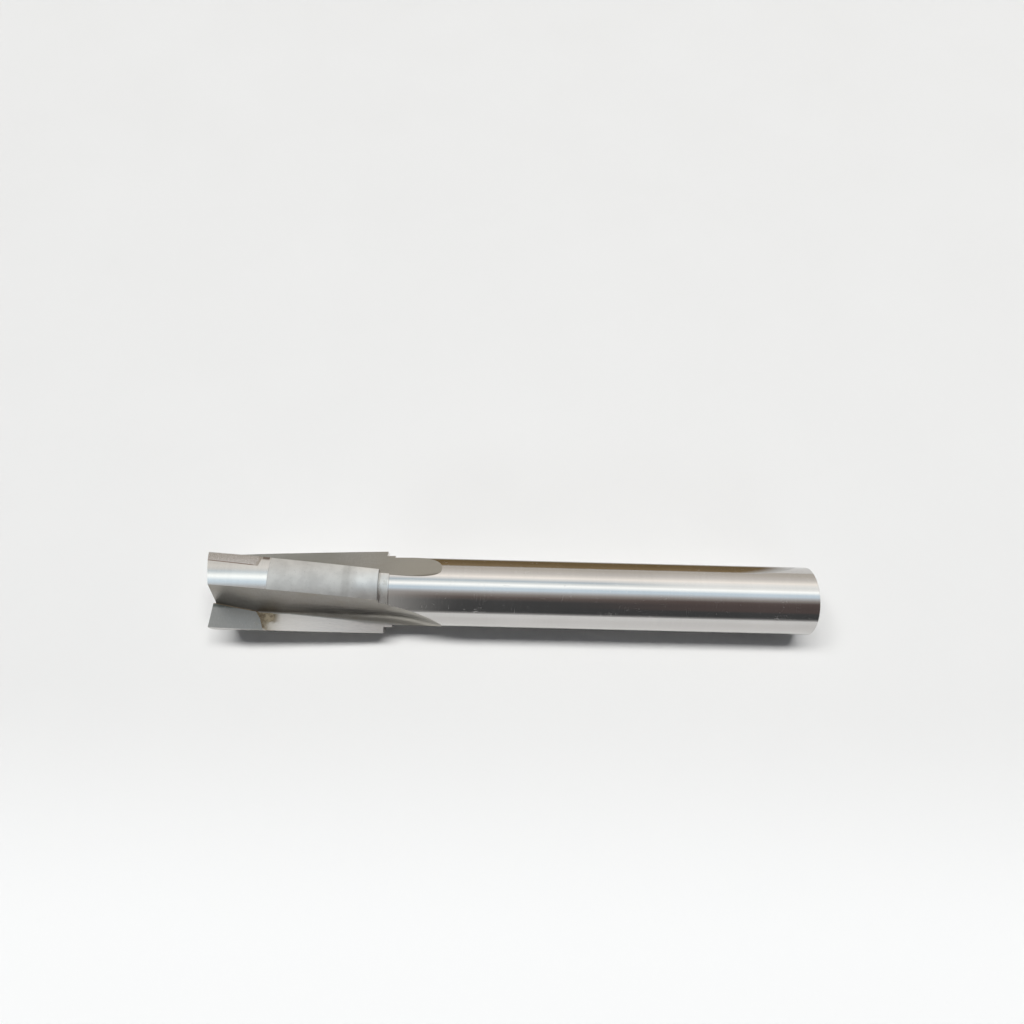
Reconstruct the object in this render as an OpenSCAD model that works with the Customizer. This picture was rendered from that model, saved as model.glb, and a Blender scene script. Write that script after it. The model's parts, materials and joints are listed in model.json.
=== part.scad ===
// Carbide-tipped end mill: a one-piece steel body with three right-hand flutes,
// three carbide cutting tips brazed into pockets, and the three braze joints.
// The tool lies along X. The cutting end points to -X and the origin is the
// centre of the flat rear face of the shank.

/* [Overall] */
// Length from the cutting plane to the rear face of the shank
overall_len = 222.25; // [215:0.25:260]
// Diameter of the ground shank
shank_d = 25.4; // [25:0.1:25.8]
// Diameter over the cutting edges
cut_d = 31.75; // [31.5:0.05:32.5]
// Length of the fluted head
head_len = 62.8; // [60:0.2:68]
// How much smaller the unground head is than the cutting diameter
head_clearance = 0.2; // [0.1:0.05:0.4]
// Length of the land that is ground to the cutting diameter
ground_len = 23.4; // [22:0.2:26]
// Diameter of the turned collar behind the head
collar_d = 27; // [26.2:0.1:27.4]
// Length of the turned collar
collar_len = 3.2; // [2:0.1:5]
// Bevel around the rear face of the shank
rear_bevel = 0.2; // [0.1:0.1:1]

/* [Flutes] */
// Helix angle at the cutting diameter
helix = 5.7; // [4:0.1:7]
// Angle of the first cutting edge from straight down
first_edge = 25.75; // [20:0.25:32]
// How far the rake face leans back from a radius
rake = 3.5; // [3:0.5:6]
// Length over which the rake face turns from the flat of a tip to the helix
rake_blend = 15; // [8:1:20]
// Width of a tooth at the shoulder, as an angle
land_rear = 41.5; // [38:0.5:44]
// How much wider the second and third teeth are at the cutting end, as an angle
land_gain = 7; // [4:0.5:8]
// How much wider the first tooth is at the cutting end, as an angle
first_land_gain = 2; // [0:0.5:8]
// Solid core radius along the flutes
web_r = 8.7; // [8.4:0.1:9.2]
// Solid core radius at the cutting end
web_front_r = 6.3; // [6:0.1:7]
// Length of the deeper end gash
gash_len = 17; // [14:0.5:20]
// Root radius of a flute at the cutting end
root_front = 0.8; // [0.6:0.1:1.4]
// Root radius of a flute at the shoulder
root_rear = 3.7; // [2.6:0.1:4]
// Distance from the tip where the root starts to widen
root_start = 28; // [22:1:36]
// Radius of the arc in which a flute runs out of the shank
runout_r = 70; // [60:1:85]
// How far before the shoulder the run-out starts
runout_lead = 1.5; // [0:0.5:4]

/* [Cutting end] */
// Angle by which the end teeth fall back behind their edges
end_relief = 14; // [10:0.5:16]
// Angle by which the end dishes toward the centre
dish = 0.5; // [0.25:0.25:3]
// Radius of the shallow recess around the centre hole of the cutting end
recess_r = 6.6; // [6.4:0.1:7.2]
// Depth of that recess
recess = 1.1; // [0.6:0.1:1.6]
// Mouth diameter of the centre holes
centre_d = 5.2; // [4:0.2:6]
// Diameter of the pilot at the bottom of the centre holes
pilot_d = 2.4; // [1.6:0.2:3]
// Depth of the pilots behind their cones
pilot_len = 3; // [2:0.5:5]

/* [Tips and braze] */
// Length of a carbide tip along its cutting edge
tip_len = 19.4; // [18:0.1:20]
// Width of a carbide tip across its rake face
tip_w = 9; // [8.8:0.1:9.5]
// Distance from the edge to the knee in the slanted rear end of a tip
tip_knee = 4.2; // [3:0.2:6]
// Slant of the rear end of a tip outside its knee
tip_slant = 22; // [10:1:30]
// Slant of the rear end of a tip inside its knee
tip_inner_slant = 35; // [25:1:45]
// Thickness of a carbide tip
tip_t = 3.97; // [3.8:0.01:4.4]
// Angle of the flat relief ground behind a cutting edge
edge_relief = 9; // [8:0.5:11]
// How far a tip stands proud of the rake face
proud = 0.12; // [0.06:0.02:0.2]
// Thickness of the braze around a tip
braze_t = 0.25; // [0.2:0.05:0.4]
// Length of the braze pool behind a tip
braze_rear = 0.9; // [0.6:0.1:1.4]
// Half width of the long braze pool at the inner rear corner
pool_r = 1.7; // [1.4:0.1:2]
// Distance from the edge to the middle of the pool
pool_in = 5; // [4.4:0.1:5.4]
// Length of the pool between the middles of its round ends
pool_len = 4.4; // [3:0.2:5]
// How far the pool reaches behind the outer rear corner of a tip
pool_reach = 3.6; // [3:0.1:4]
// Depth of the pool under the rake face
pool_t = 0.7; // [0.5:0.1:1]

/* [Hidden] */
$fn = 96;
teeth = 3;
pitch_angle = 360 / teeth;
cut_r = cut_d / 2;
head_r = (cut_d - head_clearance) / 2;
shank_r = shank_d / 2;
twist_per_mm = atan(tan(helix) * tip_len / 2 / cut_r) / (tip_len / 2);
over = 3;
air = 9;
head_steps = 16;
runout_steps = 8;
root_steps = 6;
runout_start = head_len - runout_lead;
runout_end = runout_start + sqrt(2 * runout_r * (shank_r - web_r + 1.2));
steel = [0.72, 0.71, 0.69];
carbide = [0.50, 0.50, 0.49];
bronze = [0.47, 0.42, 0.33];

// Angle of the edge of tooth i at height z above the cutting plane
function edge_angle(i, z) = first_edge + pitch_angle * i + twist_per_mm * z;

// Part of the head that lies in front of height z, from 0 at the shoulder to 1
function front_share(z) = max(0, min(1, 1 - z / head_len));

// Values of the flute section that change along the tool
// Flute i cuts the heel of the tooth in front of it, so flute 1 sets the first tooth
function land_at(i, z) =
    land_rear + (i == 1 ? first_land_gain : land_gain) * pow(front_share(z), 1.5);
function web_at(z) = web_front_r + (web_r - web_front_r) * min(1, max(0, z / gash_len));
function root_at(z) =
    root_front + (root_rear - root_front)
    * max(0, min(1, (z - root_start) / (head_len - root_start)));
function rake_at(z) =
    rake + twist_per_mm * (max(0, min(z, tip_len)) - tip_len / 2)
    * max(0, min(1, 1 - (z - tip_len) / rake_blend));
function lift_at(z) =
    z < runout_start ? 0 : runout_r - sqrt(runout_r * runout_r - pow(z - runout_start, 2));

// Unit vector at an angle
function dir(a) = [cos(a), sin(a)];

// Distance from the edge to the root circle, along a rake face that leans by tilt
function rake_reach(q, web, tilt) =
    head_r * cos(tilt)
    - sqrt(pow(head_r * cos(tilt), 2) - head_r * head_r + 2 * head_r * q * sin(tilt)
           - q * q + pow(web + q, 2));

// Section of flute i: its edge is on the X axis and the flute lies below it
function flute_section(i, z) =
    let (q = root_at(z),
         tilt = rake_at(z),
         inward = [-cos(tilt), sin(tilt)],
         to_flute = [-sin(tilt), -cos(tilt)],
         edge = [head_r, 0],
         c = edge + rake_reach(q, web_at(z), tilt) * inward + q * to_flute,
         heel = head_r * dir(land_at(i, z) - pitch_angle),
         gap = c - heel,
         gap_angle = atan2(gap[1], gap[0]),
         slip = asin(q / norm(gap)),
         back_dir = dir(gap_angle + slip),
         // the root arc runs from the rake face round to the back of the next tooth
         a_rake = atan2(-to_flute[1], -to_flute[0]),
         a_back = gap_angle + slip + 90,
         arc = [for (j = [0:root_steps])
                c + q * dir(a_rake + (a_back - a_rake) * j / root_steps)],
         outer = (head_r + air) * dir((land_at(i, z) - pitch_angle) / 2),
         lift = lift_at(z) * c / norm(c))
    [for (p = concat([edge - air * inward], arc, [heel - air * back_dir, outer])) p + lift];

// Section of flute i turned to its place at height z
function placed_section(i, z) =
    let (a = edge_angle(i, z))
    [for (p = flute_section(i, z))
        [p[0] * cos(a) - p[1] * sin(a), p[0] * sin(a) + p[1] * cos(a), z]];

// Heights of the sections, closer together where the flute runs out
function heights() = concat(
    [-over],
    [for (j = [0:head_steps]) runout_start * j / head_steps],
    [for (j = [1:runout_steps])
        runout_start + (runout_end - runout_start) * j / runout_steps]);

// Skin through all sections of one flute
module flute(i) {
    rings = [for (z = heights()) placed_section(i, z)];
    n = len(rings[0]);
    m = len(rings);
    polyhedron(
        points = [for (ring = rings) each ring],
        faces = concat(
            [[for (j = [0:n - 1]) j]],
            [for (r = [0:m - 2]) for (j = [0:n - 1])
                [r * n + j, (r + 1) * n + j, (r + 1) * n + (j + 1) % n]],
            [for (r = [0:m - 2]) for (j = [0:n - 1])
                [r * n + j, (r + 1) * n + (j + 1) % n, r * n + (j + 1) % n]],
            [[for (j = [0:n - 1]) (m - 1) * n + n - 1 - j]]),
        convexity = 6);
}

// Half outline of the turned blank, from the cutting end to the rear face
module blank_outline() {
    cone_len = (centre_d - pilot_d) / 2 / tan(30);
    mouth_z = recess;
    polygon([
        [0, mouth_z + cone_len + pilot_len],
        [pilot_d / 2, mouth_z + cone_len + pilot_len],
        [pilot_d / 2, mouth_z + cone_len],
        [centre_d / 2, mouth_z],
        [recess_r, mouth_z],
        [recess_r, (cut_r - recess_r) * tan(dish)],
        [cut_r, 0],
        [cut_r, ground_len],
        [head_r, ground_len],
        [head_r, head_len],
        [collar_d / 2, head_len],
        [collar_d / 2, head_len + collar_len],
        [shank_r, head_len + collar_len],
        [shank_r, overall_len - rear_bevel],
        [shank_r - rear_bevel, overall_len],
        [centre_d / 2, overall_len],
        [pilot_d / 2, overall_len - cone_len],
        [pilot_d / 2, overall_len - cone_len - pilot_len],
        [0, overall_len - cone_len - pilot_len]
    ]);
}

// Space cleared behind the end edge of tooth i
module end_clearance(i) {
    rotate([0, 0, edge_angle(i, 0)])
        intersection() {
            translate([0, 0, -over])
                linear_extrude(height = 3 * over)
                    polygon([[0, 0], 3 * cut_r * dir(-25), 3 * cut_r * dir(pitch_angle / 2 - 16),
                             3 * cut_r * dir(pitch_angle - 7)]);
            translate([cut_r, 0, 0])
                rotate([end_relief, 0, -rake])
                    translate([-2 * cut_r, -2 * cut_r, -2 * cut_r])
                        cube([4 * cut_r, 4 * cut_r, 2 * cut_r]);
        }
}

// Blank with its flutes and end clearances, before the pockets are milled
module fluted_blank() {
    difference() {
        rotate_extrude() blank_outline();
        for (i = [0:teeth - 1]) flute(i);
        for (i = [0:teeth - 1]) end_clearance(i);
    }
}

// Moves children to the seat of tip i: X runs outward along the rake face,
// Y goes into the tooth, Z runs along the tip from its middle
module tip_seat(i) {
    rotate([0, 0, edge_angle(i, tip_len / 2)])
        translate([cut_r, 0, tip_len / 2])
            rotate([0, 0, -rake])
                rotate([-helix, 0, 0])
                    translate([0, -proud, 0])
                        children();
}

// Block with the outline of a tip in its rake plane, grown inward and to the rear
module tip_block(grow_in, grow_rear, y0, y1) {
    end = tip_len / 2 + grow_rear;
    knee = end - tip_knee * tan(tip_slant);
    depth = tip_w + grow_in;
    translate([0, y1, 0])
        rotate([90, 0, 0])
            linear_extrude(height = y1 - y0)
                polygon([
                    [over, -tip_len / 2 - over],
                    [over, end],
                    [0, end],
                    [-tip_knee, knee],
                    [-depth, knee - (depth - tip_knee) * tan(tip_inner_slant)],
                    [-depth, -tip_len / 2 - over]
                ]);
}

// Tip i before its land and its end are ground
module tip_plate(i) {
    tip_seat(i) tip_block(0, 0, 0, tip_t);
}

// Pocket milled for tip i and its braze, with the pool open to the flute
module pocket(i) {
    tip_seat(i) {
        tip_block(braze_t, braze_rear, -braze_t, tip_t + braze_t);
        translate([-pool_in, pool_t, tip_len / 2 + pool_reach - pool_r - pool_len])
            rotate([90, 0, 0]) {
                cylinder(h = over + pool_t, r = pool_r);
                translate([-pool_r, 0, 0])
                    cube([2 * pool_r, pool_len, over + pool_t]);
                translate([0, pool_len, 0])
                    cylinder(h = over + pool_t, r = pool_r);
            }
    }
}

// Space cleared by the flat relief behind the cutting edge of tip i
module edge_clearance(i) {
    tip_seat(i)
        rotate([0, 0, rake - edge_relief])
            translate([0, -over, -tip_len])
                cube([2 * over, over + 2 * tip_t, 2 * tip_len]);
}

// Turns the tool from standing on its cutting end to lying along X
module lay_down() {
    translate([-overall_len, 0, 0]) rotate([0, 90, 0]) children();
}

module body() {
    color(steel) lay_down()
        difference() {
            fluted_blank();
            for (i = [0:teeth - 1]) pocket(i);
        }
}

module carbide_tip(i) {
    color(carbide) lay_down()
        difference() {
            intersection() {
                tip_plate(i);
                rotate_extrude() blank_outline();
            }
            end_clearance(i);
            edge_clearance(i);
        }
}

module braze(i) {
    color(bronze) lay_down()
        difference() {
            intersection() {
                pocket(i);
                fluted_blank();
            }
            tip_plate(i);
        }
}

body();
carbide_tip(0);  // carbide_tip_1
carbide_tip(1);  // carbide_tip_2
carbide_tip(2);  // carbide_tip_3
braze(0);  // braze_1
braze(1);  // braze_2
braze(2);  // braze_3
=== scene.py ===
"""Carbide-tipped end mill lying on a pale bench, lit softly from above and behind."""
import json
import math

import bmesh
import bpy
import numpy as np
from mathutils import Matrix, Vector


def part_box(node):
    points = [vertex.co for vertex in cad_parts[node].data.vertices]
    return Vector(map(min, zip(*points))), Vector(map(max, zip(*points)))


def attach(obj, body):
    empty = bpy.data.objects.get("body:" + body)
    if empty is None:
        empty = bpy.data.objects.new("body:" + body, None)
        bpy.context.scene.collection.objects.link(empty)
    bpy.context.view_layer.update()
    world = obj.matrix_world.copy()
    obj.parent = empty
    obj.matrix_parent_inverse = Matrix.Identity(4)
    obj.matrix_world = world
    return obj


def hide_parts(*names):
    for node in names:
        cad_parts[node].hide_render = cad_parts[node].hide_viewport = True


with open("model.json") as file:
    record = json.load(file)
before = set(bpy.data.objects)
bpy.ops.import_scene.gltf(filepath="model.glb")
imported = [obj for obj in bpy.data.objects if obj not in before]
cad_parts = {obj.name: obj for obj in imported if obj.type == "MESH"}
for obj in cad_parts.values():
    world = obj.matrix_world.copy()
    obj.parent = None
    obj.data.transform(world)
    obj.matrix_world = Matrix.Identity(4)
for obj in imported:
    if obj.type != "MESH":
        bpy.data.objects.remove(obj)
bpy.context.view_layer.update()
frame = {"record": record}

# ---------------------------------------------------------------- dimensions
# Lengths are in millimetres until a mesh is made, as in the CAD source.
MM = 0.001
tip_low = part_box("carbide_tip_1")[0]
mounts = {m["name"]: m for m in frame["record"]["mounts"]}

SHANK_R = mounts["shank"]["dims"]["r_mm"]
SHANK_LEN = mounts["shank"]["dims"]["length_mm"]
REAR_BEVEL = 0.2
OVERALL = -tip_low[0] / MM                 # cutting plane to rear face
COLLAR_R = 13.5
COLLAR_LEN = 3.2
HEAD_LEN = OVERALL - SHANK_LEN - REAR_BEVEL - COLLAR_LEN
CUT_R = 15.875
HEAD_R = 15.775
GROUND_LEN = 23.4

TEETH = 3
PITCH = math.radians(120)
HELIX = math.radians(5.7)
FIRST_EDGE = math.radians(25.75)
RAKE = math.radians(3.5)
RAKE_BLEND = 15.0
LAND_REAR = math.radians(41.5)
LAND_GAIN = math.radians(7)
FIRST_LAND_GAIN = math.radians(2)
WEB_R = 8.7
WEB_FRONT_R = 6.3
GASH_LEN = 17.0
ROOT_FRONT = 0.8
ROOT_REAR = 3.7
ROOT_START = 28.0
RUNOUT_R = 70.0
RUNOUT_LEAD = 1.5

END_RELIEF = math.radians(14)
END_AHEAD = math.radians(25)              # the clearance starts this far ahead of an edge
END_MIDDLE = math.radians(44)
END_BEHIND = math.radians(113)            # and ends this far behind it
DISH = math.radians(0.5)
RECESS_R = 6.6
RECESS = 1.1
CENTRE_R = 2.6
PILOT_R = 1.2
PILOT_LEN = 3.0

TIP_LEN = 19.4
TIP_W = 9.0
TIP_KNEE = 4.2
TIP_SLANT = math.radians(22)
TIP_INNER_SLANT = math.radians(35)
TIP_T = 3.97
PROUD = 0.12
EDGE_RELIEF = math.radians(9)
BRAZE_T = 0.25
BRAZE_REAR = 0.9
POOL_R = 1.7
POOL_IN = 5.0
POOL_LEN = 4.4
POOL_REACH = 3.6
POOL_T = 0.7

OVER = 3.0
TWIST = math.atan(math.tan(HELIX) * TIP_LEN / 2 / CUT_R) / (TIP_LEN / 2)
RUNOUT_START = HEAD_LEN - RUNOUT_LEAD
RUNOUT_END = RUNOUT_START + math.sqrt(2 * RUNOUT_R * (SHANK_R - WEB_R + 1.2))

# How finely curved surfaces are divided
AROUND = 360
ROOT_STEPS = 14
FACE_STEPS = 8
POOL_STEPS = 32                           # around each round end of a braze pool
HEAD_STATIONS = 96
RUNOUT_STATIONS = 48


# ------------------------------------------------------------- flute section
def clamp01(t):
    return max(0.0, min(1.0, t))


def edge_angle(tooth, z):
    """Angle of a cutting edge from straight down, at height z above the cutting plane."""
    return FIRST_EDGE + PITCH * tooth + TWIST * z


def polar(angle, radius=1.0):
    """Point at an angle and radius."""
    return np.array([math.cos(angle), math.sin(angle)]) * radius


def land_at(flute, z):
    """Width of the tooth whose heel this flute cuts; flute 1 sets the first tooth."""
    gain = FIRST_LAND_GAIN if flute == 1 else LAND_GAIN
    return LAND_REAR + gain * clamp01(1 - z / HEAD_LEN) ** 1.5


def web_at(z):
    return WEB_FRONT_R + (WEB_R - WEB_FRONT_R) * clamp01(z / GASH_LEN)


def root_at(z):
    return ROOT_FRONT + (ROOT_REAR - ROOT_FRONT) * clamp01((z - ROOT_START) / (HEAD_LEN - ROOT_START))


def rake_at(z):
    back = clamp01(1 - (z - TIP_LEN) / RAKE_BLEND)
    return RAKE + TWIST * (max(0.0, min(z, TIP_LEN)) - TIP_LEN / 2) * back


def lift_at(z):
    if z < RUNOUT_START:
        return 0.0
    return RUNOUT_R - math.sqrt(RUNOUT_R ** 2 - (z - RUNOUT_START) ** 2)


def flute_section(flute, z):
    """Closed outline of one flute at height z, with its cutting edge on the X axis."""
    q, web, tilt, land = root_at(z), web_at(z), rake_at(z), land_at(flute, z)
    inward = np.array([-math.cos(tilt), math.sin(tilt)])
    to_flute = np.array([-math.sin(tilt), -math.cos(tilt)])
    edge = np.array([HEAD_R, 0.0])
    lean = HEAD_R * math.cos(tilt)
    reach = lean - math.sqrt(
        lean ** 2 - HEAD_R ** 2 + 2 * HEAD_R * q * math.sin(tilt) - q * q + (web + q) ** 2)
    centre = edge + reach * inward + q * to_flute
    heel = polar(land - PITCH, HEAD_R)
    gap = centre - heel
    gap_angle = math.atan2(gap[1], gap[0])
    slip = math.asin(q / np.linalg.norm(gap))
    back_dir = polar(gap_angle + slip)
    a_rake = math.atan2(-to_flute[1], -to_flute[0])
    a_back = gap_angle + slip + math.pi / 2
    arc = [centre + polar(a_rake + (a_back - a_rake) * j / ROOT_STEPS, q)
           for j in range(ROOT_STEPS + 1)]
    start = edge - 9 * inward
    end = heel - 9 * back_dir
    rake_face = [start + (arc[0] - start) * j / FACE_STEPS for j in range(FACE_STEPS)]
    back_face = [arc[-1] + (end - arc[-1]) * j / (2 * FACE_STEPS)
                 for j in range(1, 2 * FACE_STEPS + 1)]
    outer = polar((land - PITCH) / 2, HEAD_R + 9)
    lift = lift_at(z) * centre / np.linalg.norm(centre)
    return [p + lift for p in rake_face + arc + back_face + [outer]]


# ---------------------------------------------------------------- mesh tools
# Turns tool space (Z up the tool from its cutting plane) into the row's frame
LAY = Matrix.Translation((-OVERALL * MM, 0, 0)) @ Matrix.Rotation(math.pi / 2, 4, "Y") @ Matrix.Scale(MM, 4)


def mesh_object(name, verts, faces, slot=0, space=None):
    """Object from tool-space points in mm, with outward normals."""
    mesh = bpy.data.meshes.new(name)
    mesh.from_pydata([tuple(v) for v in verts], [], faces)
    bm = bmesh.new()
    bm.from_mesh(mesh)
    bmesh.ops.recalc_face_normals(bm, faces=bm.faces)
    for face in bm.faces:
        face.material_index = slot
    bm.to_mesh(mesh)
    bm.free()
    mesh.transform(LAY @ space if space else LAY)
    ob = bpy.data.objects.new(name, mesh)
    bpy.context.scene.collection.objects.link(ob)
    return ob


def box_object(name, low, high, slot=0, space=None):
    x0, y0, z0 = low
    x1, y1, z1 = high
    verts = [(x0, y0, z0), (x1, y0, z0), (x1, y1, z0), (x0, y1, z0),
             (x0, y0, z1), (x1, y0, z1), (x1, y1, z1), (x0, y1, z1)]
    faces = [(3, 2, 1, 0), (4, 5, 6, 7), (0, 1, 5, 4), (1, 2, 6, 5), (2, 3, 7, 6), (3, 0, 4, 7)]
    return mesh_object(name, verts, faces, slot, space=space)


def turned_object(name, outline):
    """Solid of revolution. outline holds (radius, z, slot of the band that follows)."""
    verts, rings, faces, slots = [], [], [], []
    for r, z, _ in outline:
        if r == 0:
            rings.append([len(verts)])
            verts.append((0, 0, z))
        else:
            rings.append(list(range(len(verts), len(verts) + AROUND)))
            verts += [(*polar(2 * math.pi * j / AROUND, r), z) for j in range(AROUND)]
    for k in range(len(outline) - 1):
        a, b = rings[k], rings[k + 1]
        for j in range(AROUND):
            n = (j + 1) % AROUND
            if len(a) == 1:
                faces.append((a[0], b[n], b[j]))
            elif len(b) == 1:
                faces.append((a[j], a[n], b[0]))
            else:
                faces.append((a[j], a[n], b[n], b[j]))
            slots.append(outline[k][2])
    ob = mesh_object(name, verts, faces)
    ob.data.polygons.foreach_set("material_index", slots)
    return ob


def flute_object(tooth, slot_rake, slot_back):
    """Skin through all sections of one flute, closed at both ends."""
    heights = [-OVER, -0.01]
    heights += [RUNOUT_START * j / HEAD_STATIONS for j in range(1, HEAD_STATIONS + 1)]
    heights += [RUNOUT_START + (RUNOUT_END - RUNOUT_START) * j / RUNOUT_STATIONS
                for j in range(1, RUNOUT_STATIONS + 1)]
    verts = []
    for z in heights:
        a = edge_angle(tooth, z)
        c, s = math.cos(a), math.sin(a)
        section = flute_section(tooth, z)
        verts += [(p[0] * c - p[1] * s, p[0] * s + p[1] * c, z) for p in section]
    n = len(section)
    faces = [tuple(range(n)), tuple(range(len(verts) - n, len(verts)))[::-1]]
    slots = [slot_back, slot_back]
    for ring in range(len(heights) - 1):
        for j in range(n):
            k = (j + 1) % n
            a, b = ring * n, (ring + 1) * n
            faces.append((a + j, b + j, b + k, a + k))
            slots.append(slot_rake if j < FACE_STEPS else slot_back)
    ob = mesh_object(f"cut_flute_{tooth}", verts, faces)
    ob.data.polygons.foreach_set("material_index", slots)
    return ob


def combine(base, cutter, operation="DIFFERENCE"):
    """Boolean of two closed meshes, applied, with the cutter removed."""
    mod = base.modifiers.new("cut", "BOOLEAN")
    mod.operation = operation
    mod.object = cutter
    mod.solver = "MANIFOLD"
    bpy.context.view_layer.update()
    result = bpy.data.meshes.new_from_object(
        base.evaluated_get(bpy.context.evaluated_depsgraph_get()))
    base.modifiers.clear()
    old = base.data
    base.data = result
    result.name = base.name
    bpy.data.meshes.remove(old)
    bpy.data.objects.remove(cutter)
    return base


def copy_of(ob, name):
    new = bpy.data.objects.new(name, ob.data.copy())
    bpy.context.scene.collection.objects.link(new)
    return new


# ----------------------------------------------------------- the tool's cuts
SHANK, COLLAR, HEAD, LAND, RAKE_FACE, BACK_FACE, POCKET, END, CENTRE = range(9)


def blank():
    """The turned body before any flute or pocket is cut."""
    cone = (CENTRE_R - PILOT_R) / math.tan(math.radians(30))
    mouth = RECESS
    rear = OVERALL
    return turned_object("body_visual", [
        (0, mouth + cone + PILOT_LEN, CENTRE),
        (PILOT_R, mouth + cone + PILOT_LEN, CENTRE),
        (PILOT_R, mouth + cone, CENTRE),
        (CENTRE_R, mouth, END),
        (RECESS_R, mouth, END),
        (RECESS_R, (CUT_R - RECESS_R) * math.tan(DISH), END),
        (CUT_R, 0, LAND),
        (CUT_R, GROUND_LEN, LAND),
        (HEAD_R, GROUND_LEN, HEAD),
        (HEAD_R, HEAD_LEN, COLLAR),
        (COLLAR_R, HEAD_LEN, COLLAR),
        (COLLAR_R, HEAD_LEN + COLLAR_LEN, COLLAR),
        (SHANK_R, HEAD_LEN + COLLAR_LEN, SHANK),
        (SHANK_R, rear - REAR_BEVEL, SHANK),
        (SHANK_R - REAR_BEVEL, rear, END),
        (CENTRE_R, rear, CENTRE),
        (PILOT_R, rear - cone, CENTRE),
        (PILOT_R, rear - cone - PILOT_LEN, CENTRE),
        (0, rear - cone - PILOT_LEN, CENTRE),
    ])


def end_clearance(tooth):
    """Wedge of space behind the end edge of one tooth."""
    turn = Matrix.Rotation(edge_angle(tooth, 0), 4, "Z")
    spread = [-END_AHEAD, END_MIDDLE, END_BEHIND]
    corners = [(0, 0)] + [polar(a, 3 * CUT_R) for a in spread]
    verts = [(p[0], p[1], z) for z in (-OVER, 2 * OVER) for p in corners]
    faces = [(3, 2, 1, 0), (4, 5, 6, 7), (0, 1, 5, 4), (1, 2, 6, 5), (2, 3, 7, 6), (3, 0, 4, 7)]
    sector = mesh_object("cut_end", verts, faces, END, space=turn)
    tilt = turn @ Matrix.Translation((CUT_R, 0, 0)) @ Matrix.Rotation(-RAKE, 4, "Z") \
        @ Matrix.Rotation(END_RELIEF, 4, "X")
    big = 4 * CUT_R
    return combine(sector, box_object("half", (-big, -big, -big), (big, big, 0), END, tilt), "INTERSECT")


def tip_seat(tooth):
    """X outward along the rake face, Y into the tooth, Z along the tip from its middle."""
    return Matrix.Rotation(edge_angle(tooth, TIP_LEN / 2), 4, "Z") \
        @ Matrix.Translation((CUT_R, 0, TIP_LEN / 2)) @ Matrix.Rotation(-RAKE, 4, "Z") \
        @ Matrix.Rotation(-HELIX, 4, "X") @ Matrix.Translation((0, -PROUD, 0))


def tip_block(name, tooth, grow_in, grow_rear, y0, y1, slot=0):
    """Block with the outline of a tip in its rake plane, grown inward and to the rear."""
    end = TIP_LEN / 2 + grow_rear
    knee = end - TIP_KNEE * math.tan(TIP_SLANT)
    depth = TIP_W + grow_in
    low = -TIP_LEN / 2 - OVER
    outline = [(OVER, low), (OVER, end), (0, end), (-TIP_KNEE, knee),
               (-depth, knee - (depth - TIP_KNEE) * math.tan(TIP_INNER_SLANT)), (-depth, low)]
    n = len(outline)
    verts = [(x, y, z) for y in (y0, y1) for x, z in outline]
    faces = [tuple(range(n)), tuple(range(n, 2 * n))[::-1]]
    faces += [(j, n + j, n + (j + 1) % n, (j + 1) % n) for j in range(n)]
    return mesh_object(name, verts, faces, slot, space=tip_seat(tooth))


def tip_plate(tooth, slot=0):
    return tip_block("plate", tooth, 0, 0, 0, TIP_T, slot)


def pocket(tooth):
    """Room for a tip and its braze, with a slot-shaped pool at the inner rear corner."""
    block = tip_block("pocket", tooth, BRAZE_T, BRAZE_REAR, -BRAZE_T, TIP_T + BRAZE_T, POCKET)
    pool_z = TIP_LEN / 2 + POOL_REACH - POOL_R - POOL_LEN
    place = tip_seat(tooth) @ Matrix.Translation((-POOL_IN, POOL_T, pool_z)) \
        @ Matrix.Rotation(math.pi / 2, 4, "X")
    ring = []
    for y, start in ((0, math.pi), (POOL_LEN, 0)):
        for j in range(POOL_STEPS + 1):
            point = polar(start + math.pi * j / POOL_STEPS, POOL_R)
            ring.append((point[0], y + point[1]))
    n = len(ring)
    verts = [(x, y, z) for z in (0, OVER + POOL_T) for x, y in ring]
    faces = [tuple(range(n))[::-1], tuple(range(n, 2 * n))]
    faces += [(j, (j + 1) % n, n + (j + 1) % n, n + j) for j in range(n)]
    return combine(block, mesh_object("pool", verts, faces, POCKET, space=place), "UNION")


def edge_clearance(tooth):
    """Space behind the relieved outer face of a tip."""
    place = tip_seat(tooth) @ Matrix.Rotation(RAKE - EDGE_RELIEF, 4, "Z")
    return box_object("relief", (0, -OVER, -TIP_LEN), (2 * OVER, OVER + 2 * TIP_T, TIP_LEN), LAND, place)


body = blank()
for tooth in range(TEETH):
    combine(body, flute_object(tooth, RAKE_FACE, BACK_FACE))
    combine(body, end_clearance(tooth))
uncut = copy_of(body, "uncut")
for tooth in range(TEETH):
    combine(body, pocket(tooth))

tips, brazes = [], []
for tooth in range(TEETH):
    tip = combine(tip_plate(tooth), blank(), "INTERSECT")
    tip.name = f"carbide_tip_{tooth + 1}_visual"
    combine(tip, end_clearance(tooth))
    combine(tip, edge_clearance(tooth))
    tips.append(tip)
    braze = combine(pocket(tooth), copy_of(uncut, "blank_copy"), "INTERSECT")
    braze.name = f"braze_{tooth + 1}_visual"
    combine(braze, tip_plate(tooth))
    brazes.append(braze)
bpy.data.objects.remove(uncut)


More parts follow.
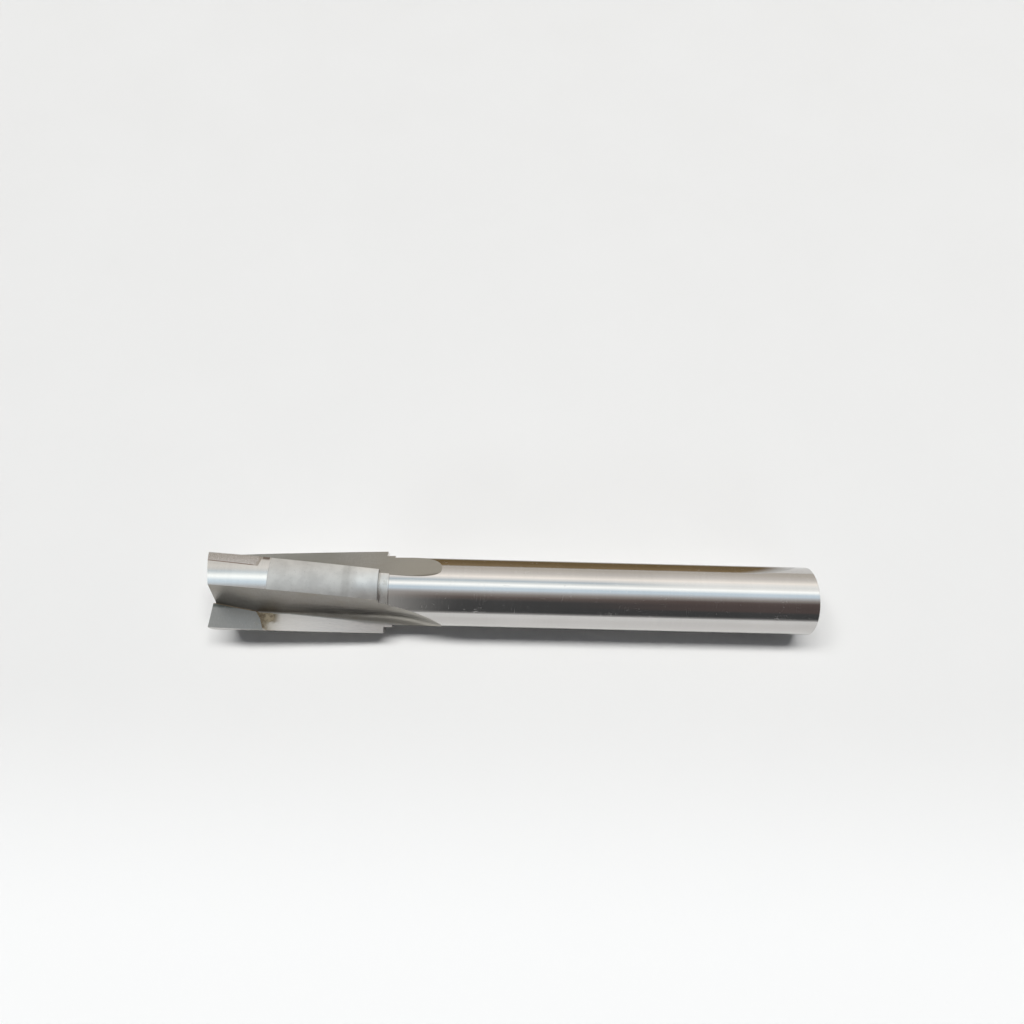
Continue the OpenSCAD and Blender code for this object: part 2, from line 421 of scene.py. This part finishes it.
# ------------------------------------------------------------------ materials
class Field:
    """A number worked out in a node tree, so that materials read like formulas."""

    def __init__(self, tree, socket):
        self.tree, self.socket = tree, socket

    def math(self, operation, *others):
        node = self.tree.nodes.new("ShaderNodeMath")
        node.operation = operation
        for k, value in enumerate((self,) + others):
            if isinstance(value, Field):
                self.tree.links.new(value.socket, node.inputs[k])
            else:
                node.inputs[k].default_value = value
        return Field(self.tree, node.outputs[0])

    def __add__(self, other):
        return self.math("ADD", other)

    def __sub__(self, other):
        return self.math("SUBTRACT", other)

    def __mul__(self, other):
        return self.math("MULTIPLY", other)

    def __truediv__(self, other):
        return self.math("DIVIDE", other)

    def step(self, low, high, out_low=0.0, out_high=1.0):
        """Smooth step from out_low at low to out_high at high."""
        node = self.tree.nodes.new("ShaderNodeMapRange")
        node.interpolation_type = "SMOOTHSTEP"
        self.tree.links.new(self.socket, node.inputs["Value"])
        swap = low > high
        ends = (high, low, out_high, out_low) if swap else (low, high, out_low, out_high)
        for name, value in zip(("From Min", "From Max", "To Min", "To Max"), ends):
            node.inputs[name].default_value = value
        return Field(self.tree, node.outputs["Result"])

    def band(self, middle, half, soft):
        """1 within half of middle, falling to 0 over soft."""
        return (self - middle).math("ABSOLUTE").step(half + soft, half)


class Surface:
    """Principled material with coordinates of the tool in millimetres."""

    def __init__(self, name, metal=1.0, anisotropic=0.0):
        self.material = bpy.data.materials.new(name)
        self.material.use_nodes = True
        self.tree = self.material.node_tree
        self.shader = self.tree.nodes["Principled BSDF"]
        self.shader.inputs["Metallic"].default_value = metal
        self.shader.inputs["Anisotropic"].default_value = anisotropic
        coordinates = self.tree.nodes.new("ShaderNodeTexCoord")
        self.place = coordinates.outputs["Object"]
        split = self.tree.nodes.new("ShaderNodeSeparateXYZ")
        self.tree.links.new(self.place, split.inputs[0])
        x, y, z = (Field(self.tree, s) for s in split.outputs)
        self.lengthways, self.across = x, y               # in metres
        self.along = x / MM + OVERALL                     # height above the cutting plane
        self.radius = (y * y + z * z).math("SQRT") / MM
        angle = y.math("ARCTAN2", z * -1) - FIRST_EDGE - self.along * TWIST
        self.behind = angle.math("FLOORED_MODULO", PITCH) * CUT_R   # arc behind the edge, in mm

    def noise(self, scale, stretch=(1, 1, 1), detail=3.0, rough=0.55, shift=0.0, turn=0.0):
        """Noise with its scale in features per millimetre along each axis."""
        mapping = self.tree.nodes.new("ShaderNodeMapping")
        mapping.inputs["Scale"].default_value = stretch
        mapping.inputs["Location"].default_value = (shift, shift * 0.7, shift * 0.3)
        mapping.inputs["Rotation"].default_value = (0, turn, turn)
        self.tree.links.new(self.place, mapping.inputs["Vector"])
        node = self.tree.nodes.new("ShaderNodeTexNoise")
        node.inputs["Scale"].default_value = scale / MM
        node.inputs["Detail"].default_value = detail
        node.inputs["Roughness"].default_value = rough
        self.tree.links.new(mapping.outputs[0], node.inputs["Vector"])
        return Field(self.tree, node.outputs[0])

    def painted_root_shade(self, wider=0.0):
        """Painted shade for the root of a flute on the negative Y side, none at the front or at the end of
        the run-out.
        """
        edge_wobble = (self.noise(0.5, (0.25, 1, 1), 3, 0.6, 5.5) - 0.5) * 1.6
        rise = (self.along - RUNOUT_START).math("MAXIMUM", 0)
        above_root = self.radius + edge_wobble - rise * rise / (2 * RUNOUT_R) - WEB_R - 0.8
        spread = above_root - self.along.step(38, 60) * wider
        where = self.along.step(10, 50) * self.along.step(88, 74) * self.across.step(0.004, -0.002)
        return spread.step(0.5, -1.5) * where

    def scratches(self, scale, stretch, turn, shift, thin=0.012):
        """Sparse thin lines, where a stretched noise crosses its middle value."""
        line = (self.noise(scale, stretch, 0, 0.5, shift, turn) - 0.5).math("ABSOLUTE")
        where = self.noise(0.22, (1, 1, 1), 1, 0.5, shift + 3.1).step(0.58, 0.66)
        return line.step(thin, 0.0) * where

    def mix(self, first, second, share):
        """Colour between two colours; either may be a tuple or a colour socket."""
        node = self.tree.nodes.new("ShaderNodeMix")
        node.data_type = "RGBA"
        for name, value in (("A", first), ("B", second)):
            socket = [s for s in node.inputs if s.name == name and s.type == "RGBA"][0]
            if isinstance(value, tuple):
                socket.default_value = (*value, 1)
            else:
                self.tree.links.new(value, socket)
        self.tree.links.new(share.socket, node.inputs[0])
        return [s for s in node.outputs if s.type == "RGBA"][0]

    def finish(self, colour, rough, height=None, depth=0.0, strength=1.0):
        """Link colour and roughness, and a bump whose height is depth mm."""
        self.tree.links.new(colour, self.shader.inputs["Base Color"])
        self.tree.links.new(rough.socket, self.shader.inputs["Roughness"])
        if height:
            bump = self.tree.nodes.new("ShaderNodeBump")
            bump.inputs["Strength"].default_value = strength
            bump.inputs["Distance"].default_value = depth * MM
            self.tree.links.new(height.socket, bump.inputs["Height"])
            self.tree.links.new(bump.outputs[0], self.shader.inputs["Normal"])
        return self.material


def ground_steel(name, light, dark, rough, marks):
    """Cylindrically ground steel: rings around the axis, handling scratches and specks."""
    s = Surface(name, anisotropic=0.25)
    rings = s.noise(4.5, (1, 0.02, 0.02), 2, 0.6)
    cloud = s.noise(0.06, (0.5, 1, 1), 2, 0.5, 1.7)
    long_marks = s.scratches(0.55, (0.25, 1.6, 1.6), 0.5, 2.3)
    cross_marks = s.scratches(0.7, (1.8, 0.2, 0.2), -0.35, 5.9)
    specks = s.noise(1.9, (1, 1, 1), 1, 0.5, 8.1).step(0.735, 0.79)
    wear = (long_marks + cross_marks + specks * 0.8) * marks
    tone = rings * 0.35 + cloud * 0.65
    colour = s.mix(dark, light, tone.step(0.3, 0.7))
    burnt = s.along.band(TIP_LEN + 2.2, 1.1, 0.5) * (s.behind + cloud * 1.2).step(2.4, 1.4)
    colour = s.mix(colour, (0.13, 0.085, 0.06), burnt * 0.85)
    roughness = cloud.step(0.3, 0.7, rough * 0.85, rough * 1.2) + rings * 0.04
    roughness = roughness + wear * 0.22 + burnt * 0.3
    return s.finish(colour, roughness, rings - wear * 1.2, 0.004, 0.35)


def blasted_steel(name):
    """Sand-blasted head: even grain, a faint darker band and a smoother end at the shoulder."""
    s = Surface(name)
    grain = s.noise(5.5, detail=2, rough=0.6)
    pits = s.noise(2.4, detail=1, rough=0.5, shift=4.0).step(0.66, 0.76)
    cloud = s.noise(0.16, detail=3, rough=0.55, shift=2.0)
    band = s.along.band(HEAD_LEN - 11.6, 0.7, 1.2)
    smooth = s.along.step(HEAD_LEN - 12, HEAD_LEN - 5)
    front = s.along.step(HEAD_LEN - 30, GROUND_LEN, 0, 1)
    colour = s.mix((0.565, 0.55, 0.53), (0.67, 0.655, 0.63), cloud.step(0.32, 0.68))
    colour = s.mix(colour, (0.70, 0.69, 0.665), front * 0.35)
    colour = s.mix(colour, (0.30, 0.29, 0.27), pits * 0.35 + band * 0.22)
    # painted shade: a near-black line along the last few tenths of a millimetre of the head before the
    # shoulder
    shoulder_edge_shade = s.along.step(HEAD_LEN - 0.35, HEAD_LEN - 0.1)
    colour = s.mix(colour, (0.09, 0.088, 0.082), shoulder_edge_shade * 0.85)
    roughness = smooth.step(0, 1, 0.55, 0.35) + grain * 0.06
    return s.finish(colour, roughness, grain - pits * 0.5, 0.012, 0.35)


def turned_steel(name):
    """Turned steel with the fine helix of a lathe tool."""
    s = Surface(name)
    lines = (s.along * (2 * math.pi / 0.42)).math("SINE")
    coarse = s.noise(1.5, (1, 0.05, 0.05), 2, 0.6)
    dirt = s.noise(0.5, detail=3, shift=3.0).step(0.5, 0.75)
    colour = s.mix((0.68, 0.665, 0.64), (0.42, 0.40, 0.365), dirt * 0.6 + coarse * 0.3)
    return s.finish(colour, coarse.step(0.2, 0.8, 0.26, 0.42), lines * 0.5 + coarse, 0.010, 0.6)


def milled_steel(name, light, dark, rough, tint):
    """Milled flute: feed marks along the tool, with an oil-brown film in patches."""
    s = Surface(name)
    feed = s.noise(3.0, (0.05, 1.3, 1.3), 3, 0.6)
    across = s.noise(1.6, (1.6, 0.3, 0.3), 2, 0.5, 2.2)
    film = s.noise(0.14, (0.6, 1, 1), 4, 0.6, 6.0)
    specks = s.noise(2.2, detail=1, rough=0.5, shift=9.0).step(0.71, 0.78)
    colour = s.mix(dark, light, (feed * 0.6 + across * 0.4).step(0.3, 0.7))
    colour = s.mix(colour, tint, film.step(0.45, 0.72) * 0.55)
    colour = s.mix(colour, (0.20, 0.18, 0.15), specks * 0.45)
    colour = s.mix(colour, (0.47, 0.45, 0.405), s.along.step(48, 76) * 0.75)
    # painted shade: back faces on the positive Y side are darkened towards the front of the head
    far_side_shade = s.along.step(56, 34) * s.across.step(0.002, 0.008)
    colour = s.mix(colour, (0.20, 0.195, 0.165), far_side_shade * 0.6)
    # painted shade: the flute root on the negative Y side is darkened to near black
    root = s.painted_root_shade()
    colour = s.mix(colour, (0.06, 0.06, 0.056), root * 0.88)
    roughness = (feed * 0.5 + film * 0.5).step(0.3, 0.7, rough * 0.85, rough * 1.2) + root * 0.3
    return s.finish(colour, roughness, feed * 0.6 + across * 0.5, 0.008, 0.4)


def heat_marked(name, light, dark, rough, tint):
    """Milled rake face with straw and brown heat colours fading away behind the tip."""
    s = Surface(name)
    feed = s.noise(2.6, (0.12, 1.2, 1.2), 3, 0.6)
    grain = s.noise(5.0, detail=2, shift=4.4)
    uneven = s.noise(0.7, detail=4, rough=0.6, shift=1.1)
    behind = s.along - TIP_LEN + (uneven - 0.5) * 3.0
    straw = behind.step(7.5, 1.0) * 0.5
    brown = behind.step(2.8, 0.2) * 0.75
    stain = s.noise(0.9, detail=2, shift=7.7).step(0.70, 0.78)
    colour = s.mix(dark, light, feed.step(0.3, 0.7))
    colour = s.mix(colour, tint, straw)
    colour = s.mix(colour, (0.24, 0.19, 0.12), brown)
    colour = s.mix(colour, (0.33, 0.27, 0.19), stain * 0.5)
    pool = s.along.step(TIP_LEN + POOL_REACH + 2.4, TIP_LEN + POOL_REACH - 0.6)
    halo = pool * (s.radius + uneven * 2.4).step(14.8, 13.2)
    colour = s.mix(colour, (0.20, 0.155, 0.10), halo * 0.85)
    # painted shade: the flute root, and a wider band beside it towards the run-out, is darkened on the
    # negative Y side
    root = s.painted_root_shade(3.2)
    colour = s.mix(colour, (0.10, 0.10, 0.095), root * 0.8)
    roughness = feed.step(0.3, 0.7, rough * 0.85, rough * 1.15) + brown * 0.1 + root * 0.25
    return s.finish(colour, roughness, feed * 0.5 + grain * 0.5, 0.008, 0.4)


def carbide_surface(name, light, dark, rough):
    """Sintered carbide: satin with a fine grain and faint grinding lines."""
    s = Surface(name)
    grain = s.noise(6.5, detail=2, rough=0.7)
    lines = s.noise(3.4, (1.6, 0.25, 0.25), 2, 0.5, 3.0)
    flecks = s.noise(1.7, detail=1, rough=0.5, shift=5.0).step(0.69, 0.76)
    # painted shade: the inner part of each tip, where it meets the flute floor, is darkened to near black
    inner = (s.radius + (s.noise(0.8, detail=3) - 0.5) * 0.9).step(8.5, 7.5)
    near_braze = s.along.step(TIP_LEN - 4.5, TIP_LEN - 0.5) * s.noise(0.6, detail=3).step(0.4, 0.7)
    colour = s.mix(dark, light, (grain * 0.5 + lines * 0.5).step(0.3, 0.7))
    colour = s.mix(colour, (0.075, 0.08, 0.07), inner * 0.8)
    colour = s.mix(colour, (0.25, 0.215, 0.165), near_braze * 0.45)
    colour = s.mix(colour, (0.42, 0.41, 0.38), flecks * 0.4)
    roughness = grain.step(0.3, 0.7, rough * 0.85, rough * 1.2)
    return s.finish(colour, roughness, grain * 0.6 + lines * 0.4, 0.005, 0.35)


def braze_surface():
    """Oxidised silver braze: gold-brown with dark flux stains and a lumpy skin."""
    s = Surface("braze_metal")
    lumps = s.noise(0.9, detail=4, rough=0.6)
    stain = s.noise(0.55, detail=4, rough=0.65, shift=2.6)
    on_land = s.radius.step(HEAD_R - 0.7, HEAD_R - 0.2)
    rear = s.along.step(TIP_LEN - 2.6, TIP_LEN - 1.0)
    colour = s.mix((0.33, 0.27, 0.19), (0.20, 0.155, 0.105), stain.step(0.38, 0.62))
    colour = s.mix(colour, (0.11, 0.055, 0.04), lumps.step(0.56, 0.72) * 0.7)
    colour = s.mix(colour, (0.15, 0.075, 0.055), on_land * 0.8)
    colour = s.mix(colour, (0.46, 0.43, 0.39), on_land * rear * 0.85)
    return s.finish(colour, stain.step(0.3, 0.7, 0.34, 0.58), lumps, 0.12, 0.7)


STEEL_LIGHT, STEEL_DARK = (0.63, 0.615, 0.60), (0.57, 0.555, 0.54)
mats = {
    SHANK: ground_steel("ground_shank", STEEL_LIGHT, STEEL_DARK, 0.085, 1.0),
    COLLAR: turned_steel("turned_collar"),
    HEAD: blasted_steel("blasted_head"),
    LAND: ground_steel("ground_land", (0.70, 0.69, 0.67), (0.61, 0.60, 0.58), 0.14, 0.4),
    RAKE_FACE: heat_marked("milled_rake", (0.68, 0.625, 0.58), (0.59, 0.54, 0.50), 0.44, (0.38, 0.33, 0.25)),
    BACK_FACE: milled_steel("milled_back", (0.36, 0.345, 0.32), (0.30, 0.285, 0.262), 0.36,
                            (0.30, 0.275, 0.23)),
    POCKET: milled_steel("milled_pocket", (0.30, 0.28, 0.24), (0.22, 0.20, 0.17), 0.5, (0.20, 0.16, 0.11)),
    END: turned_steel("faced_end"),
    CENTRE: turned_steel("drilled_centre"),
}


def dress(ob, materials, choose=lambda regions: regions):
    """Give a piece its materials; choose turns each face's region into a material number."""
    regions = np.zeros(len(ob.data.polygons), dtype=np.int32)
    ob.data.polygons.foreach_get("material_index", regions)
    ob.data.materials.clear()
    for material in materials:
        ob.data.materials.append(material)
    ob.data.polygons.foreach_set("material_index", choose(regions).astype(np.int32))


dress(body, [mats[k] for k in sorted(mats)])
face_carbide = carbide_surface("carbide_face", (0.285, 0.278, 0.266), (0.245, 0.239, 0.229), 0.36)
land_carbide = carbide_surface("carbide_land", (0.56, 0.54, 0.525), (0.49, 0.47, 0.455), 0.24)
braze_mat = braze_surface()
for ob in tips:
    dress(ob, [face_carbide, land_carbide], lambda regions: regions == LAND)
for ob in brazes:
    ob.data.materials.clear()
    ob.data.materials.append(braze_mat)


# -------------------------------------------------------------------- normals
def smooth_normals(ob, round_regions):
    """Smooth within each surface, with exact radial normals on turned surfaces."""
    mesh = ob.data
    mesh.shade_smooth()
    mesh.set_sharp_from_angle(angle=math.radians(22))
    normals = [tuple(n.vector) for n in mesh.corner_normals]
    for poly in mesh.polygons:
        if poly.material_index not in round_regions:
            continue
        for loop in poly.loop_indices:
            if abs(poly.normal.x) > 0.5:
                normals[loop] = tuple(poly.normal)
            else:
                point = mesh.vertices[mesh.loops[loop].vertex_index].co
                normals[loop] = tuple(Vector((0, point.y, point.z)).normalized())
    mesh.normals_split_custom_set(normals)


smooth_normals(body, {SHANK, COLLAR, HEAD, LAND})
for ob in tips + brazes:
    smooth_normals(ob, set())

for ob, node, slot in ([(body, "body", "body_steel")]
                       + [(t, f"carbide_tip_{k + 1}", "carbide") for k, t in enumerate(tips)]
                       + [(b, f"braze_{k + 1}", "braze") for k, b in enumerate(brazes)]):
    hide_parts(node)
    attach(ob, "root")

# ---------------------------------------------------------------------- floor
# The tool rests on the rear rim of its shank and on the head
points = np.array([tuple(v.co) for ob in [body] + tips for v in ob.data.vertices])
REAR_END, HEAD_END = -0.002, -0.05        # behind one is the rear rim, ahead of the other the head
rim_z = points[points[:, 0] > REAR_END][:, 2].min()
front = points[points[:, 0] < HEAD_END]
slope = ((rim_z - front[:, 2]) / -front[:, 0]).max()
bpy.ops.mesh.primitive_plane_add(size=4)
floor = bpy.context.object
floor.name = "bench_top"
floor.rotation_euler = (0, -math.atan(slope), 0)
floor.location = (0, 0, rim_z)
bench = Surface("bench_paint", metal=0.0)
tone = bench.noise(0.02, detail=3)
paint = bench.mix((0.79, 0.785, 0.775), (0.82, 0.815, 0.805), tone)
# painted light: the bench is lighter towards the negative Y side, in front of the tool
painted_light_in_front = bench.mix(paint, (0.93, 0.93, 0.925), bench.across.step(-0.03, -0.12))
floor.data.materials.append(bench.finish(
    painted_light_in_front, tone.step(0.3, 0.7, 0.5, 0.62), bench.noise(1.2, detail=2), 0.01, 0.2))

# ---------------------------------------------------------------------- camera
# The place and the lens follow from the tool's own proportions
VIEW_ANGLE = math.radians(114.15)      # direction of the camera about the tool, from +Y over the top
ALONG = -111.55                        # where the camera's upright plane crosses the axis
DISTANCE = 264.2
BELOW = 30.93                          # how far below the middle of the view the axis passes
LEAN = 0.0261                          # the axis leans clockwise in the view
AWAY = -0.01376                        # and its rear is a little farther away
SENSOR = 36.0
LENS = 24.60234375

u = Vector((math.cos(LEAN), -math.sin(LEAN), AWAY)).normalized()   # tool axis in camera space
v = Vector((math.sin(LEAN), math.cos(LEAN), 0)).normalized()
n = u.cross(v).normalized()
if n.z < 0:
    n = -n
v = n.cross(u)
axis_world = Vector((1, 0, 0))
n_world = Vector((0, math.cos(VIEW_ANGLE), math.sin(VIEW_ANGLE)))
v_world = n_world.cross(axis_world)
if v_world.z < 0:
    v_world = -v_world
world_from_cam = Matrix((axis_world, v_world, n_world)).transposed() @ Matrix((u, v, n))
eye = Vector((ALONG * MM, 0, 0)) + world_from_cam @ Vector((0, BELOW * MM, DISTANCE * MM))
cam_data = bpy.data.cameras.new("camera")
cam_data.sensor_width = SENSOR
cam_data.lens = LENS
cam_data.clip_start = 0.01
cam = bpy.data.objects.new("camera", cam_data)
cam.matrix_world = Matrix.Translation(eye) @ world_from_cam.to_4x4()
bpy.context.scene.collection.objects.link(cam)
bpy.context.scene.camera = cam

# ---------------------------------------------------------------------- light
# A room that is bright overhead, medium at the back and dark on the viewer's side.
# Angles run about the tool's axis: 0 is the back horizon and 90 is straight up.
bpy.context.scene.view_settings.view_transform = "Standard"
ROOM = [
    (-30, (0.80, 0.79, 0.77)), (0, (0.64, 0.61, 0.55)), (16, (0.67, 0.63, 0.57)),
    (34, (0.84, 0.81, 0.77)), (43, (1.10, 1.05, 0.99)), (50, (1.42, 1.35, 1.27)),
    (56, (1.15, 1.14, 1.11)), (65, (0.62, 0.74, 0.83)), (71, (1.05, 1.12, 1.14)),
    (78, (1.70, 1.74, 1.72)), (84, (1.30, 1.40, 1.44)), (89, (0.82, 0.98, 1.12)),
    (95, (0.84, 0.99, 1.12)), (102, (0.64, 0.66, 0.68)), (109, (0.38, 0.35, 0.335)),
    (120, (0.17, 0.14, 0.13)), (133, (0.076, 0.077, 0.079)), (172, (0.070, 0.072, 0.074)),
    (179, (0.45, 0.45, 0.45))]
world = bpy.data.worlds.new("studio")
bpy.context.scene.world = world
world.use_nodes = True
tree = world.node_tree
background = tree.nodes["Background"]
direction = tree.nodes.new("ShaderNodeTexCoord")
split = tree.nodes.new("ShaderNodeSeparateXYZ")
tree.links.new(direction.outputs["Generated"], split.inputs[0])
dx, dy, dz = (Field(tree, s) for s in split.outputs)
about = dz.math("ARCTAN2", dy) * (180 / math.pi)
low, high = ROOM[0][0], ROOM[-1][0]
ramp = tree.nodes.new("ShaderNodeValToRGB")
tree.links.new(((about - low) / (high - low)).socket, ramp.inputs[0])
stops = ramp.color_ramp.elements
stops[0].color = (*ROOM[0][1], 1)
stops[1].color = (*ROOM[-1][1], 1)
for angle, colour in ROOM[1:-1]:
    stops.new((angle - low) / (high - low)).color = (*colour, 1)


def blend(first, second, share):
    """Colour from first to second as share goes from 0 to 1; each a socket or a tuple."""
    node = tree.nodes.new("ShaderNodeMix")
    node.data_type = "RGBA"
    for socket, value in zip([s for s in node.inputs if s.type == "RGBA"], (first, second)):
        if isinstance(value, tuple):
            socket.default_value = (*value, 1)
        else:
            tree.links.new(value, socket)
    tree.links.new(share.socket, node.inputs[0])
    return [s for s in node.outputs if s.type == "RGBA"][0]


front_side = about.step(100, 112)
cutting_side = dx.step(-0.06, -0.20)
sky = blend(ramp.outputs[0], (0.62, 0.615, 0.60), front_side * cutting_side * 0.75)
sky = blend(sky, (0.80, 0.78, 0.75), about.band(48, 10, 9) * dx.step(-0.12, -0.30) * 0.75)
sky = blend(sky, (1.30, 1.30, 1.27), about.band(64, 7, 6) * dx.step(0.10, 0.30) * 0.75)
sky = blend(sky, (0.125, 0.095, 0.09), about.band(133, 13, 9) * dx.step(0.08, 0.30) * 0.8)
sky = blend(sky, (0.55, 0.55, 0.55), dx.math("ABSOLUTE").step(0.8, 0.97))
sky = blend(sky, (0.80, 0.80, 0.79), dz.step(0.0, -0.02))
seen = tree.nodes.new("ShaderNodeLightPath")
sky = blend(sky, (0.88, 0.88, 0.875), Field(tree, seen.outputs["Is Camera Ray"]))
tree.links.new(sky, background.inputs["Color"])


def soft_sun(name, lean, side, angle, strength, colour):
    """Even light from lean degrees behind and side degrees beside straight up."""
    data = bpy.data.lights.new(name, "SUN")
    data.angle = math.radians(angle)
    data.energy = strength
    data.color = colour
    ob = bpy.data.objects.new(name, data)
    ob.rotation_euler = (-math.radians(lean), math.radians(side), 0)
    ob.visible_glossy = False
    bpy.context.scene.collection.objects.link(ob)


# One long lamp, made of suns side by side, and a wide fill fall on the bench.
# The room gives the steel its reflections.
world.cycles_visibility.diffuse = False
LAMP = {"lean": 10.5, "angle": 13, "strength": 0.66, "colour": (1, 1, 0.99)}
FILL = {"lean": 15, "angle": 120, "strength": 0.20, "colour": (0.84, 0.95, 1.16)}
for k, side in enumerate((-33, -20, -7, 6, 20)):
    soft_sun(f"long_lamp_{k}", side=side, **LAMP)
soft_sun("soft_fill", side=0, **FILL)

# A warm board behind the tool, seen only softly in its reflections
BOARD = {"x": (-0.168, 0.004), "y": (0.020, 0.076), "rise": 0.032}
board_mesh = bpy.data.meshes.new("warm_board")
(x0, x1), (y0, y1) = BOARD["x"], BOARD["y"]
board_mesh.from_pydata([(x0, y0, rim_z), (x1, y0, rim_z), (x1, y1, rim_z + BOARD["rise"]),
                        (x0, y1, rim_z + BOARD["rise"])], [], [(0, 1, 2, 3)])
board = bpy.data.objects.new("warm_board", board_mesh)
bpy.context.scene.collection.objects.link(board)
board.visible_camera = board.visible_diffuse = board.visible_shadow = False
card = Surface("board_paper", metal=0.0)
depth = card.across
inside = card.lengthways.step(x0, x0 + 0.024) * card.lengthways.step(x1, x1 - 0.014) \
    * depth.step(y0, y0 + 0.010) * depth.step(y1, y1 - 0.011)
paper = card.mix((0.17, 0.115, 0.05), (0.34, 0.24, 0.12), depth.step(y0, y1))
board_mesh.materials.append(card.finish(
    card.mix((0.81, 0.805, 0.795), paper, inside), card.noise(0.05, detail=2).step(0.3, 0.7, 0.6, 0.8)))
